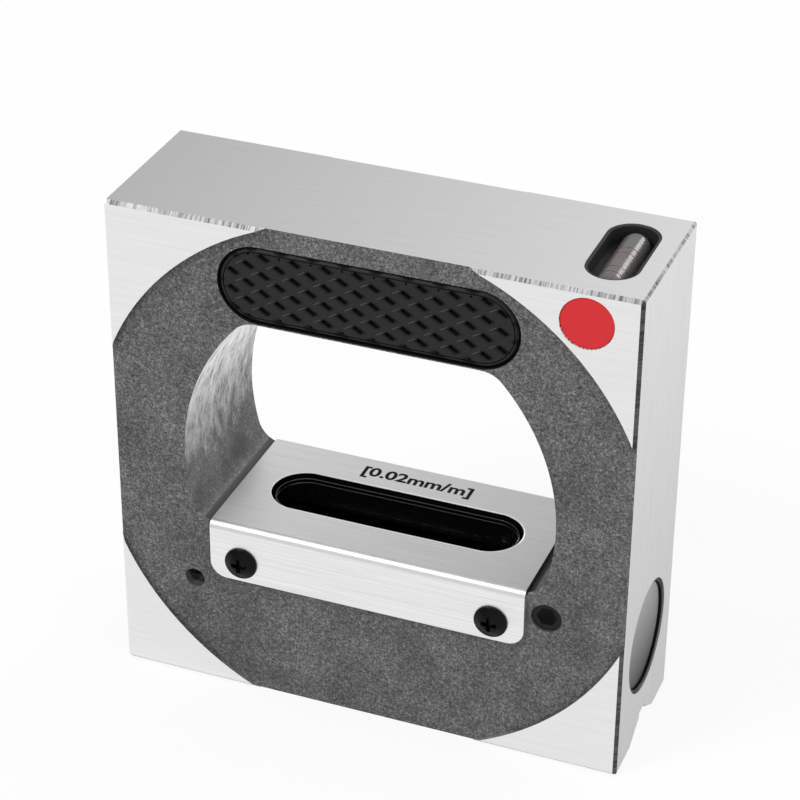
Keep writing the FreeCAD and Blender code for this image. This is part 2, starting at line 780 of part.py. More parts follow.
def draw_pit(sketch, across, up):
    """One slanting pit, a leaning four-sided outline about its middle."""
    def corner(run, rise):
        return "%s + %s" % (across, run), "%s + %s" % (up, rise)

    draw_polygon(sketch, [
        corner("( 0 - pit_run - pit_lean )", "( pit_fall - pit_rise )"),
        corner("( 0 - pit_run + pit_lean )", "( pit_fall + pit_rise )"),
        corner("( pit_run + pit_lean )", "( pit_rise - pit_fall )"),
        corner("( pit_run - pit_lean )", "( 0 - pit_fall - pit_rise )")])


# ------------------------------------------------------------------ sleeve, caps and liner
def make_vial_sleeve():
    """Black insulating tube lining the bore, open above the vial and at the pivots."""
    body = new_body("vial_sleeve")
    ring = new_sketch(body, "YZ_Plane", "sleeve_ring")
    draw_circle(ring, "0", "bore_height", "sleeve_radius")
    draw_circle(ring, "0", "bore_height", "sleeve_bore")
    pad(body, ring, "tube", "frame_side - 2 * sleeve_inset", symmetric=True)

    slot = new_sketch(body, "XY_Plane", "sleeve_slot_outline", "bore_height + sleeve_radius")
    draw_obround(slot, "0", "0", "slot_length", "slot_width")
    pocket(body, slot, "sleeve_slot", "sleeve_radius")

    pivots = new_sketch(body, "XZ_Plane", "sleeve_pivot_circle")
    draw_circle(pivots, "0 - pivot_offset", "pivot_height",
                "pivot_pin_radius + sleeve_opening_room")
    pocket(body, pivots, "sleeve_pivot_holes", "frame_depth", symmetric=True)

    cam = new_sketch(body, "XZ_Plane", "sleeve_cam_circle")
    draw_circle(cam, "pivot_offset", "adjuster_height", "adjuster_radius + sleeve_opening_room")
    pocket(body, cam, "sleeve_cam_opening", "frame_depth", symmetric=True)
    return body


def make_end_cap(label, right):
    """A turned disc that closes one end of the sleeve, its outer edge bevelled."""
    cap = doc.addObject("Part::Cylinder", label + "_disc")
    cap.setExpression("Radius", bound("sleeve_bore - cap_gap"))
    cap.setExpression("Height", bound("cap_thickness"))
    doc.recompute()
    bevelled = doc.addObject("Part::Chamfer", label)
    bevelled.Label = label
    bevelled.Base = cap
    rim = [index for index, edge in enumerate(cap.Shape.Edges, start=1)
           if edge.Closed and near(edge.BoundBox.ZMin, number("cap_thickness"))]
    bevel = number("cap_bevel")
    bevelled.Edges = [(index, bevel, bevel) for index in rim]
    doc.recompute()
    face = "frame_side / 2 - cap_inset - cap_thickness"
    place(bevelled, face if right else "0 - ( %s )" % face, "0", "bore_height",
          TO_RIGHT if right else TO_LEFT)
    return bevelled


def make_slot_liner():
    """A moulded ring that lines the casting's slot from the plate down to the sleeve."""
    body = new_body("slot_liner")
    outer = new_sketch(body, "XY_Plane", "liner_outline", "plate_under")
    draw_obround(outer, "0", "0", "slot_length + 2 * liner_wall", "slot_width + 2 * liner_wall")
    pad(body, outer, "liner_block", "plate_under - bore_height", reverse=True)
    inner = new_sketch(body, "XY_Plane", "liner_inside", "plate_under")
    draw_obround(inner, "0", "0", "slot_length", "slot_width")
    pocket(body, inner, "liner_opening")
    saddle = new_sketch(body, "YZ_Plane", "liner_saddle_circle")
    draw_circle(saddle, "0", "bore_height", "bore_radius")
    pocket(body, saddle, "liner_saddle", "frame_side", symmetric=True)
    return body


# ------------------------------------------------------------------ vial carrier and adjustment
def make_vial_carrier():
    """A tube with a sight opening, a cross pivot at one end and a cam pad at the other."""
    body = new_body("vial_carrier")
    ring = new_sketch(body, "YZ_Plane", "carrier_circle")
    draw_circle(ring, "0", "bore_height", "carrier_radius")
    pad(body, ring, "carrier_bar", "carrier_length", symmetric=True)

    cam_pad = new_sketch(body, "XY_Plane", "cam_pad_outline", "pad_top")
    draw_box(cam_pad, "pivot_offset - pad_length / 2", "pivot_offset + pad_length / 2",
             "0 - pad_width / 2", "pad_width / 2")
    pad(body, cam_pad, "cam_pad", "pad_top - bore_height", reverse=True)

    inside = new_sketch(body, "YZ_Plane", "carrier_bore_circle")
    draw_circle(inside, "0", "bore_height", "carrier_bore_radius")
    pocket(body, inside, "carrier_bore", "carrier_length", symmetric=True)

    sight = new_sketch(body, "XY_Plane", "sight_outline", "bore_height + carrier_radius")
    draw_obround(sight, "0", "0", "sight_length", "sight_width")
    pocket(body, sight, "sight_opening", "carrier_radius")

    pivots = new_sketch(body, "XZ_Plane", "carrier_pivot_circle")
    draw_circle(pivots, "0 - pivot_offset", "pivot_height", "pivot_pin_radius + pivot_gap")
    pocket(body, pivots, "carrier_pivot_holes", "frame_depth", symmetric=True)

    seat = new_sketch(body, "XY_Plane", "spring_seat_circle", "carrier_foot")
    draw_circle(seat, "pivot_offset", "0", "spring_radius + spring_wire + spring_pocket_room")
    pocket(body, seat, "spring_seat", "spring_pocket_depth", reverse=True)
    return body


def make_pivot_screw(label, front):
    """A slotted grub screw whose pin is one half of the carrier's pivot axle."""
    body = new_body(label)
    profile = new_sketch(body, "XZ_Plane", "pivot_profile")
    shoulder = "pivot_shoulder - ( front_cast - pivot_sink )"
    tip = "pivot_pin_reach - ( front_cast - pivot_sink )"
    draw_polygon(profile, [
        ("0", tip),
        ("pivot_pin_radius", tip),
        ("pivot_pin_radius", shoulder),
        ("pivot_screw_radius - pivot_gap", shoulder),
        ("pivot_screw_radius - pivot_gap", "0"),
        ("0", "0")])
    revolve(body, profile, "turned_pivot")
    slot = new_sketch(body, "XY_Plane", "driver_slot")
    draw_box(slot, "0 - pivot_screw_radius", "pivot_screw_radius",
             "0 - pivot_slot_width / 2", "pivot_slot_width / 2")
    pocket(body, slot, "screwdriver_slot", "pivot_slot_depth")
    depth = "front_cast - pivot_sink"
    place(body, "0 - pivot_offset", "0 - ( %s )" % depth if front else depth, "pivot_height",
          TO_FRONT if front else TO_REAR)
    return body


def draw_hexagon(sketch, across_flats):
    """A regular hexagon about the sketch's origin, two corners on the X axis."""
    corner = "( %s ) / sqrt( 3 )" % across_flats
    half, flat = "( %s ) / 2" % corner, "( %s ) / 2" % across_flats
    draw_polygon(sketch, [
        (corner, "0"), (half, flat), ("0 - " + half, flat),
        ("0 - " + corner, "0"), ("0 - " + half, "0 - " + flat), (half, "0 - " + flat)])


def make_zero_adjuster():
    """A short shaft with a hexagon socket and an eccentric cam that rides on the carrier."""
    body = new_body("zero_adjuster")
    shaft = new_sketch(body, "XY_Plane", "shaft_circle")
    draw_circle(shaft, "0", "0", "adjuster_radius - adjuster_gap")
    pad(body, shaft, "shaft", "adjuster_length", reverse=True)
    cam = new_sketch(body, "XY_Plane", "cam_circle", "0 - adjuster_length")
    draw_circle(cam, "cam_throw", "0", "cam_radius")
    pad(body, cam, "cam", "front_cast - adjuster_sink - adjuster_length + adjuster_reach",
        reverse=True)
    socket = new_sketch(body, "XY_Plane", "socket_outline")
    draw_hexagon(socket, "key_size")
    pocket(body, socket, "key_socket", "key_depth")
    place(body, "pivot_offset", "0 - ( front_cast - adjuster_sink )", "adjuster_height", TO_FRONT)
    return body


def make_carrier_spring():
    """A compression spring that holds the carrier's pad up against the cam."""
    body = new_body("carrier_spring")
    wire = new_sketch(body, "XZ_Plane", "wire_circle")
    draw_circle(wire, "spring_radius", "spring_wire", "spring_wire")
    coil = body.newObject("PartDesign::AdditiveHelix", "coil")
    coil.Profile = wire
    coil.ReferenceAxis = (wire, ["V_Axis"])
    coil.Mode = "height-turns-angle"
    coil.setExpression("Height", bound("spring_head - spring_foot - 2 * spring_wire"))
    coil.setExpression("Turns", bound("spring_turns"))
    doc.recompute()
    place(body, "pivot_offset", "0", "spring_foot")
    return body


# ------------------------------------------------------------------ vials
def make_vial_glass(label, sizes):
    """A sealed glass barrel about local Z, its ends rounded."""
    body = new_body(label)
    profile = new_sketch(body, "XZ_Plane", "barrel_profile")
    end, cavity = sizes["length"] + " / 2", sizes["cavity"] + " / 2"
    draw_polygon(profile, [
        ("0", "0 - " + end),
        (sizes["radius"], "0 - " + end),
        (sizes["radius"], end),
        ("0", end),
        ("0", cavity),
        (sizes["bore"], cavity),
        (sizes["bore"], "0 - " + cavity),
        ("0", "0 - " + cavity)])
    revolve(body, profile, "barrel")
    radius, half = number(sizes["radius"]), number(end)

    def outer_end(edge, middle):
        on_rim = near(math.hypot(middle.x, middle.y), radius)
        return on_rim and near(abs(middle.z), half)

    dress(body, "Fillet", "rounded_ends", sizes["round"], outer_end)
    return body


def make_bubble(label, length, radius):
    """An air bubble: a round bar about local Z with domed ends."""
    body = new_body(label)
    outline = new_sketch(body, "XY_Plane", "bubble_circle")
    draw_circle(outline, "0", "0", radius)
    pad(body, outline, "bubble_bar", length, symmetric=True)
    half = number(length + " / 2")

    def end_edge(edge, middle):
        return near(abs(middle.z), half)

    dress(body, "Fillet", "domed_ends", radius + " * dome_share", end_edge)
    return body


def make_main_vial():
    glass = make_vial_glass("main_vial_glass", {
        "length": "vial_length", "cavity": "vial_cavity", "radius": "vial_radius",
        "bore": "vial_bore", "round": "vial_round"})
    place(glass, "0", "0", "bore_height", TO_RIGHT)

    liquid = new_body("main_vial_liquid")
    column = new_sketch(liquid, "YZ_Plane", "column_circle")
    draw_circle(column, "0", "bore_height", "vial_bore - fluid_gap")
    pad(liquid, column, "column", "vial_cavity - 2 * fluid_gap", symmetric=True)
    room = new_sketch(liquid, "XY_Plane", "bubble_room_outline", "bore_height + vial_bore")
    draw_obround(room, "0", "0", "bubble_length + 2 * bubble_travel + 2 * bubble_gap",
                 "2 * bubble_radius + 2 * bubble_gap")
    pocket(liquid, room, "bubble_room", "2 * bubble_radius + 2 * bubble_gap")

    bubble = make_bubble("main_bubble", "bubble_length", "bubble_radius")
    place(bubble, "0", "0", "bubble_height", TO_RIGHT)

    beddings = [make_bedding("vial_bedding_left", -1), make_bedding("vial_bedding_right", 1)]
    return [glass, liquid, bubble] + beddings


def make_bedding(label, side):
    """A plaster ring that beds one end of the glass in the carrier's bore."""
    ring = doc.addObject("Part::Cut", label)
    ring.Label = label
    ring.Base = doc.addObject("Part::Cylinder", label + "_outside")
    ring.Tool = doc.addObject("Part::Cylinder", label + "_inside")
    ring.Base.setExpression("Radius", bound("carrier_bore_radius - bedding_gap"))
    ring.Tool.setExpression("Radius", bound("vial_radius + bedding_gap"))
    for cylinder in (ring.Base, ring.Tool):
        cylinder.setExpression("Height", bound("bedding_length"))
    doc.recompute()
    inner = "vial_length / 2 - bedding_inset - bedding_length - vial_round"
    start = inner if side > 0 else "0 - ( %s ) - bedding_length" % inner
    place(ring, start, "0", "bore_height", TO_RIGHT)
    return ring


def make_cross_vial():
    holder = new_body("cross_vial_holder")
    outline = new_sketch(holder, "XY_Plane", "holder_outline", "holder_foot")
    draw_obround(outline, "cross_offset", "0", "cross_window_length - 2 * holder_gap",
                 "cross_window_width - 2 * holder_gap", True)
    pad(holder, outline, "holder_block", "holder_top - holder_foot")
    tray = new_sketch(holder, "XY_Plane", "tray_outline", "holder_top")
    draw_obround(tray, "cross_offset", "0",
                 "cross_window_length - 2 * holder_gap - 2 * holder_wall",
                 "cross_window_width - 2 * holder_gap - 2 * holder_wall", True)
    pocket(holder, tray, "tray", "holder_top - cross_vial_height")
    seat = new_sketch(holder, "XZ_Plane", "cradle_circle")
    draw_circle(seat, "cross_offset", "cross_vial_height", "cross_vial_radius + cross_seat_gap")
    pocket(holder, seat, "cradle", "cross_vial_length + 2 * cross_seat_gap", symmetric=True)

    glass = make_vial_glass("cross_vial_glass", {
        "length": "cross_vial_length", "cavity": "cross_cavity", "radius": "cross_vial_radius",
        "bore": "cross_bore", "round": "cross_vial_round"})
    place(glass, "cross_offset", "0", "cross_vial_height", TO_REAR)

    liquid = new_body("cross_vial_liquid")
    column = new_sketch(liquid, "XZ_Plane", "column_circle")
    draw_circle(column, "cross_offset", "cross_vial_height", "cross_bore - fluid_gap")
    pad(liquid, column, "column", "cross_cavity - 2 * fluid_gap", symmetric=True)
    room = new_sketch(liquid, "XY_Plane", "bubble_room_outline", "cross_vial_height + cross_bore")
    draw_obround(room, "cross_offset", "0 - cross_bubble_shift",
                 "cross_bubble_length + 2 * cross_bubble_travel + 2 * cross_bubble_gap",
                 "2 * cross_bubble_radius + 2 * cross_bubble_gap", True)
    pocket(liquid, room, "bubble_room", "2 * cross_bubble_radius + 2 * cross_bubble_gap")

    bubble = make_bubble("cross_bubble", "cross_bubble_length", "cross_bubble_radius")
    place(bubble, "cross_offset", "0 - cross_bubble_shift", "cross_bubble_height", TO_REAR)
    return [holder, glass, liquid, bubble]


# ------------------------------------------------------------------ plug and lock screw
def make_red_plug():
    """A moulded disc, bevelled at its face, that covers the cross vial's lock screw."""
    body = new_body("red_plug")
    disc = new_sketch(body, "XY_Plane", "disc_circle")
    draw_circle(disc, "0", "0", "plug_radius - plug_gap")
    pad(body, disc, "disc", "plug_thickness")
    top = number("plug_thickness")

    def face_rim(edge, middle):
        return near(middle.z, top)

    dress(body, "Chamfer", "face_bevel", "plug_edge", face_rim)
    place(body, "plug_offset", "0 - plug_seat", "plug_height", TO_FRONT)
    return body


def make_lock_screw():
    """A socket grub screw that bears on the cross vial's holder."""
    body = new_body("cross_lock_screw")
    shank = new_sketch(body, "XY_Plane", "grub_circle")
    draw_circle(shank, "0", "0", "lock_radius")
    pad(body, shank, "grub", "plug_seat - lock_gap - lock_tip")
    socket = new_sketch(body, "XY_Plane", "grub_socket", "plug_seat - lock_gap - lock_tip")
    draw_hexagon(socket, "lock_key")
    pocket(body, socket, "grub_key_socket", "lock_key_depth")
    place(body, "plug_offset", "0 - lock_tip", "plug_height", TO_FRONT)
    return body


# ------------------------------------------------------------------ the whole level
pieces = [make_frame_body(), make_cover_plate()]
for column, side in (("left", "0 - screw_spacing / 2"), ("right", "screw_spacing / 2")):
    for row, front in (("front", True), ("rear", False)):
        pieces.append(make_cover_screw("cover_screw_%s_%s" % (row, column), side, front))
pieces += [make_grip("front_grip", True), make_grip("rear_grip", False)]
pieces += [make_vial_sleeve(), make_end_cap("end_cap_left", False)]
pieces += [make_end_cap("end_cap_right", True), make_slot_liner(), make_vial_carrier()]
pieces += [make_pivot_screw("pivot_screw_front", True), make_pivot_screw("pivot_screw_rear", False)]
pieces += [make_zero_adjuster(), make_carrier_spring()]
pieces += make_main_vial()
pieces += make_cross_vial()
pieces += [make_red_plug(), make_lock_screw()]

doc.recompute()
for item in doc.Objects:
    if "Invalid" in item.State or "Error" in item.State:
        raise RuntimeError("%s failed: %s" % (item.Label, item.State))
for piece in pieces:
    if piece.Shape.isNull() or not piece.Shape.isValid():
        raise RuntimeError("%s has no valid shape" % piece.Label)
    if len(piece.Shape.Solids) != 1:
        raise RuntimeError("%s is not one solid" % piece.Label)

os.makedirs("parts", exist_ok=True)
for piece in pieces:
    piece.Shape.exportStep(os.path.join("parts", piece.Label + ".step"))
print(len(pieces), "sub-parts")
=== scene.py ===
"""Looks of a machinist's square frame level, dressed over its solid model."""
import math

import bpy
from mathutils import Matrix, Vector


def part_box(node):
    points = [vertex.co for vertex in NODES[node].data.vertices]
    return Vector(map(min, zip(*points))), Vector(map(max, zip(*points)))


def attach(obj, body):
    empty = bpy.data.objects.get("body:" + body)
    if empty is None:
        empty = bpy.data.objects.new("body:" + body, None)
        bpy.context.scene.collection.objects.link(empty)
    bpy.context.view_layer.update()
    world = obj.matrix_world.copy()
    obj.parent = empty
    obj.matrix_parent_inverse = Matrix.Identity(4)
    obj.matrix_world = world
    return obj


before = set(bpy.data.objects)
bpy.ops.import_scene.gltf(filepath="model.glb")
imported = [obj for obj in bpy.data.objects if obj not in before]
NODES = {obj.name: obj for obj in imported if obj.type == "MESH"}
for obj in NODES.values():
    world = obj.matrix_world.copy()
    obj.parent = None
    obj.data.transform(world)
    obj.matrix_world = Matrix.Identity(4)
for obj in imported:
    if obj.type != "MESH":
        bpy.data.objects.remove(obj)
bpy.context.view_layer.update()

MM = 0.001
FACE_SLACK = 0.02 * MM

# ---------------------------------------------------------------- sizes of the dressed details
HALF_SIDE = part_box("frame_body")[1].x
HALF_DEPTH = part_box("frame_body")[1].y
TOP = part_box("frame_body")[1].z
PLATE_LOW, PLATE_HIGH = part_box("cover_plate")
EDGE_CHAMFER = 1.0 * MM
CAST_DEPTH = 22.8 * MM
WINDOW_FLOOR = 53 * MM
WINDOW_ROOF = 120.7 * MM
WINDOW_REACH = 56 * MM
VEE_ROOT = 7.2 * MM
POCKET_BEVEL = 0.35 * MM
POCKET_DEPTH = 2.3 * MM
PLUG_LOW, PLUG_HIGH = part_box("red_plug")
PLUG_MIDDLE = Vector(((PLUG_LOW.x + PLUG_HIGH.x) / 2, (PLUG_LOW.z + PLUG_HIGH.z) / 2))
PLUG_REACH = (PLUG_HIGH.x - PLUG_LOW.x) / 2 + 0.3 * MM

MARK_TEXT = "[0.02mm/m]"
MARK_MIDDLE = Vector((0.15 * MM, 16.4 * MM, 0))
MARK_LENGTH = 33.4 * MM
MARK_HEIGHT = 6.0 * MM
MARK_RELIEF = 0.02 * MM

CROSS_LINE_PLACES = (4 * MM, 1 * MM, -7 * MM, -10 * MM)
CROSS_LINE_WIDTH = 0.28 * MM
MAIN_LINE_FIRST = 14.3 * MM
MAIN_LINE_STEP = 2 * MM
MAIN_LINES_A_SIDE = 6
MAIN_LINE_WIDTH = 0.3 * MM
LINE_SKIN = 0.03 * MM
LINE_SEGMENTS = 64

PLATE_SHADOW_LINE = 0.1 * MM
SLOT_REACH = 38.2 * MM
SLOT_BREADTH = 10.6 * MM
SLOT_HALF_LENGTH = 37.75 * MM
SLOT_HALF_WIDTH = 10.05 * MM
BEND_ROOM = 3 * MM
SLOT_EDGE_RADIUS = 0.22 * MM
LINER_BEAD_RADIUS = 0.16 * MM
LINER_WALL = 1.5 * MM
LINER_BEAD_DEPTHS = (1.3 * MM, 2.6 * MM)
RECESS_REACH = 2.6 * MM
KEY_REACH = 3.1 * MM
SOCKET_DEPTH = 4.2 * MM
GRIP_LOW, GRIP_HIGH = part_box("front_grip")
GRIP_MIDDLE = (GRIP_LOW.z + GRIP_HIGH.z) / 2
GRIP_ROOM = 0.9 * MM
PIT_COLUMNS = 9
PIT_PITCH = 8.9 * MM
PIT_ROW = 5.3 * MM
PIT_FIRST = 38 * MM
PIT_SHIFT = 3.3 * MM
FIELD_STRAIGHT = 31.1 * MM
FIELD_REACH = 8.3 * MM
RIB_LENGTH = 2.3 * MM
RIB_HEIGHT = 0.16 * MM
RIB_WIDTH = 0.22 * MM
RIB_SLOPE = math.radians(30)
RIB_BESIDE = 2.75 * MM
RIB_ABOVE = 0.3 * MM

CAMERA_PLACE = Vector((0.224134, -0.579602, 0.464781))
CAMERA_RIGHT = Vector((0.93157184, 0.3634857, 0.00721479))
CAMERA_UP = Vector((-0.19291213, 0.47739602, 0.85725022))
CAMERA_LENS = 118.553
CAMERA_SENSOR = 36.0

ROOM_LEFT = 0.5
ROOM_RIGHT = 0.95
FLOOR_GLOW = 0.86
FLOOR_HALF = 3.0


# ---------------------------------------------------------------- wiring a material
class Wiring:
    """Short words for the shader nodes that a finish is wired from."""

    def __init__(self, name):
        self.material = bpy.data.materials.new(name)
        self.material.use_nodes = True
        self.tree = self.material.node_tree
        self.tree.nodes.clear()
        self.output = self.node("ShaderNodeOutputMaterial")
        self.column = 0

    def node(self, kind, **settings):
        made = self.tree.nodes.new(kind)
        for word, value in settings.items():
            setattr(made, word, value)
        return made

    def feed(self, socket, value):
        """A socket takes another node's output, or a plain value on the socket itself."""
        if isinstance(value, bpy.types.NodeSocket):
            self.tree.links.new(value, socket)
        else:
            socket.default_value = value

    def place(self):
        return self.node("ShaderNodeTexCoord").outputs["Object"]

    def stretched(self, scale):
        mapping = self.node("ShaderNodeMapping")
        self.feed(mapping.inputs["Vector"], self.place())
        self.feed(mapping.inputs["Scale"], scale)
        return mapping.outputs["Vector"]

    def noise(self, scale, detail=2.0, roughness=0.5, stretch=(1, 1, 1)):
        grain = self.node("ShaderNodeTexNoise")
        self.feed(grain.inputs["Vector"], self.stretched(stretch))
        self.feed(grain.inputs["Scale"], scale)
        self.feed(grain.inputs["Detail"], detail)
        self.feed(grain.inputs["Roughness"], roughness)
        return grain.outputs["Fac"]

    def along(self, axis):
        parts = self.node("ShaderNodeSeparateXYZ")
        self.feed(parts.inputs["Vector"], self.place())
        return parts.outputs[axis]

    def spread(self, value, low, high, start=0.0, end=1.0, clamp=True):
        span = self.node("ShaderNodeMapRange", clamp=clamp)
        self.feed(span.inputs["Value"], value)
        self.feed(span.inputs["From Min"], low)
        self.feed(span.inputs["From Max"], high)
        self.feed(span.inputs["To Min"], start)
        self.feed(span.inputs["To Max"], end)
        return span.outputs["Result"]

    def math(self, operation, first, second=0.0):
        sum_node = self.node("ShaderNodeMath", operation=operation)
        self.feed(sum_node.inputs[0], first)
        self.feed(sum_node.inputs[1], second)
        return sum_node.outputs["Value"]

    def ramp(self, factor, stops):
        made = self.node("ShaderNodeValToRGB")
        self.feed(made.inputs["Fac"], factor)
        for place, grey in stops[2:]:
            made.color_ramp.elements.new(place)
        for element, (place, colour) in zip(made.color_ramp.elements, stops):
            element.position = place
            element.color = shade(colour)
        return made.outputs["Color"]

    def blend(self, factor, first, second, mode="MIX"):
        mix = self.node("ShaderNodeMix", data_type="RGBA", blend_type=mode)
        self.feed(mix.inputs["Factor"], factor)
        self.feed(mix.inputs["A"], first)
        self.feed(mix.inputs["B"], second)
        return mix.outputs["Result"]

    def shaded(self, tone, axis, low, high, start, end):
        """A tone that drifts from one side of the piece to the other: painted light and shade.
        """
        painted_light_drift = self.spread(self.along(axis), low, high, start, end)
        return self.blend(1.0, tone, painted_light_drift, "MULTIPLY")

    def bump(self, height, depth, strength=1.0):
        relief = self.node("ShaderNodeBump")
        self.feed(relief.inputs["Height"], height)
        self.feed(relief.inputs["Distance"], depth)
        self.feed(relief.inputs["Strength"], strength)
        return relief.outputs["Normal"]

    def surface(self, **sockets):
        shader = self.node("ShaderNodeBsdfPrincipled")
        for word, value in sockets.items():
            self.feed(shader.inputs[word.replace("_", " ")], value)
        self.tree.links.new(shader.outputs["BSDF"], self.output.inputs["Surface"])
        return self.material


def shade(colour):
    """A grey number or a colour, as the four numbers that a colour socket takes."""
    if isinstance(colour, (int, float)):
        colour = (colour, colour, colour)
    return (*colour[:3], 1.0)


# ---------------------------------------------------------------- finishes
def ground_steel(name, stretch, bright, painted_light_drift):
    """Surface-ground iron: fine lines along the stroke of the wheel, and painted light and shade
    as a tone that drifts along one axis.
    """
    wiring = Wiring(name)
    lines = wiring.noise(1.0, 3.0, 0.6, stretch)
    tone = wiring.ramp(lines, ((0.3, bright - 0.05), (0.7, bright)))
    # painted light and shade: the tone drifts from one side of the face to the other
    tone = wiring.shaded(tone, *painted_light_drift)
    rough = wiring.spread(lines, 0.3, 0.7, 0.42, 0.38)
    relief = wiring.bump(lines, 0.002 * MM, 0.5)
    return wiring.surface(Base_Color=tone, Metallic=1.0, Roughness=rough, Normal=relief)


def cast_iron():
    """Painted casting: a fine pebbled grain, pin holes and darker clouds."""
    wiring = Wiring("cast_iron")
    fine = wiring.noise(2700.0, 2.0, 0.6)
    coarse = wiring.noise(1300.0, 3.0, 0.6)
    grain = wiring.blend(0.45, fine, coarse)
    clouds = wiring.noise(70.0, 4.0, 0.6)
    speckle = wiring.ramp(grain, ((0.34, 0.02), (0.45, 0.08), (0.55, 0.15), (0.68, 0.34)))
    cloud = wiring.ramp(clouds, ((0.3, 0.6), (0.7, 1.0)))
    colour = wiring.blend(1.0, speckle, cloud, "MULTIPLY")
    relief = wiring.bump(grain, 0.12 * MM, 0.6)
    return wiring.surface(Base_Color=colour, Roughness=0.62, Specular_IOR_Level=0.35,
                          Normal=relief)


def eased_edge(name, stretch, dark, light):
    """A hand-dressed edge: short file marks across the bevel."""
    wiring = Wiring(name)
    marks = wiring.noise(1.0, 2.0, 0.7, stretch)
    tone = wiring.ramp(marks, ((0.36, dark), (0.6, light)))
    return wiring.surface(Base_Color=tone, Metallic=0.35, Roughness=0.5)


def window_wall():
    """Inside of the hand hole: bright drag marks above, plain casting below, and a painted
    shadow line just above the cover plate.
    """
    wiring = Wiring("window_wall")
    grain = wiring.noise(1500.0, 3.0, 0.65)
    casting = wiring.ramp(grain, ((0.3, 0.03), (0.5, 0.09), (0.7, 0.24)))
    clouds = wiring.noise(110.0, 4.0, 0.65)
    mottled = wiring.blend(1.0, casting, wiring.ramp(clouds, ((0.38, 0.3), (0.62, 1.0))),
                           "MULTIPLY")
    streaks = wiring.noise(1.0, 8.0, 0.8, (260, 340, 140))
    bright = wiring.ramp(streaks, ((0.38, 0.38), (0.46, 0.85), (0.58, 1.0)))
    height = wiring.along("Z")
    ragged = wiring.math("ADD", height, wiring.math("MULTIPLY", streaks, 0.06))
    share = wiring.spread(ragged, 0.098, 0.134)
    colour = wiring.blend(share, mottled, bright)
    # painted shadow: a dark line on the wall just above the cover plate
    plate_shadow = wiring.spread(height, PLATE_HIGH.z + PLATE_SHADOW_LINE, PLATE_HIGH.z + 2 * PLATE_SHADOW_LINE)
    colour = wiring.blend(1.0, colour, plate_shadow, "MULTIPLY")
    shine = wiring.math("MULTIPLY", share, 0.8)
    relief = wiring.bump(grain, 0.08 * MM, 0.5)
    return wiring.surface(Base_Color=colour, Metallic=shine, Roughness=0.45, Normal=relief)


def bored_metal():
    wiring = Wiring("bored_metal")
    rings = wiring.noise(1.0, 2.0, 0.5, (3000, 40, 40))
    tone = wiring.ramp(rings, ((0.3, 0.4), (0.7, 0.6)))
    return wiring.surface(Base_Color=tone, Metallic=0.9, Roughness=0.35)


def brushed_sheet(name, start, end):
    """Stainless sheet brushed along its length, with painted light and shade as a tone that
    drifts along its length.
    """
    wiring = Wiring(name)
    lines = wiring.noise(1.0, 4.0, 0.65, (35, 3600, 3600))
    tone = wiring.ramp(lines, ((0.3, 0.82), (0.7, 1.0)))
    # painted light and shade: the tone drifts from one end of the plate to the other
    tone = wiring.shaded(tone, "X", PLATE_LOW.x, PLATE_HIGH.x, start, end)
    rough = wiring.spread(lines, 0.3, 0.7, 0.42, 0.34)
    relief = wiring.bump(lines, 0.006 * MM, 0.6)
    return wiring.surface(Base_Color=tone, Metallic=1.0, Roughness=rough, Normal=relief)


def grip_rubber(name, upright):
    """Moulded rubber that dips towards each slanting pit of the field, with painted shade
    darkening it there.
    """
    wiring = Wiring(name)
    grain = wiring.noise(1500.0, 2.0)
    across = wiring.spread(wiring.along("X"), -PIT_FIRST, PIT_PITCH - PIT_FIRST, clamp=False)
    first_row = GRIP_MIDDLE + upright * PIT_SHIFT
    next_row = first_row + upright * PIT_ROW
    up = wiring.spread(wiring.along("Z"), first_row, next_row, clamp=False)
    beside = wiring.math("ADD", across, up)
    along = wiring.math("SUBTRACT", across, up)
    near_side = wiring.spread(cell_distance(wiring, beside), 0.3, 0.12)
    near_end = wiring.spread(cell_distance(wiring, along), 0.42, 0.24)
    pit_shade_and_dip = wiring.math("MULTIPLY", near_side, near_end)
    tone = wiring.ramp(grain, ((0.3, 0.008), (0.7, 0.014)))
    # painted shade: the rubber darkens towards each pit
    colour = wiring.blend(pit_shade_and_dip, tone, shade(0.001))
    gloss = wiring.spread(pit_shade_and_dip, 0.0, 1.0, 0.5, 0.85)
    relief = wiring.bump(wiring.math("SUBTRACT", 1.0, pit_shade_and_dip), 0.25 * MM, 0.8)
    return wiring.surface(Base_Color=colour, Roughness=gloss, Specular_IOR_Level=0.22,
                          Normal=relief)


def cell_distance(wiring, place):
    """How far a place is from the nearest whole number."""
    return wiring.math("ABSOLUTE", wiring.math("SUBTRACT", place, wiring.math("ROUND", place)))


def cap_steel():
    """Satin end disc with a painted reflection: light at its top, dark towards its lower edge.
    """
    wiring = Wiring("cap_steel")
    low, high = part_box("end_cap_right")
    rings = wiring.noise(1.0, 3.0, 0.6, (30, 900, 900))
    # painted reflection and shade: the tone runs from dark at the bottom to light at the top
    painted_reflection_height = wiring.math("ADD", wiring.along("Z"), wiring.math("MULTIPLY", rings, 0.6 * MM))
    tone = wiring.ramp(wiring.spread(painted_reflection_height, low.z, high.z), ((0.0, 0.06), (1.0, 0.4)))
    return wiring.surface(Base_Color=tone, Roughness=0.6, Specular_IOR_Level=0.05)


def plain(name, colour, roughness, metallic=0.0, **others):
    """A smooth finish with a faint unevenness in its gloss."""
    wiring = Wiring(name)
    haze = wiring.noise(300.0, 2.0)
    rough = wiring.spread(haze, 0.3, 0.7, roughness * 0.9, roughness * 1.1)
    return wiring.surface(Base_Color=shade(colour), Roughness=rough, Metallic=metallic, **others)


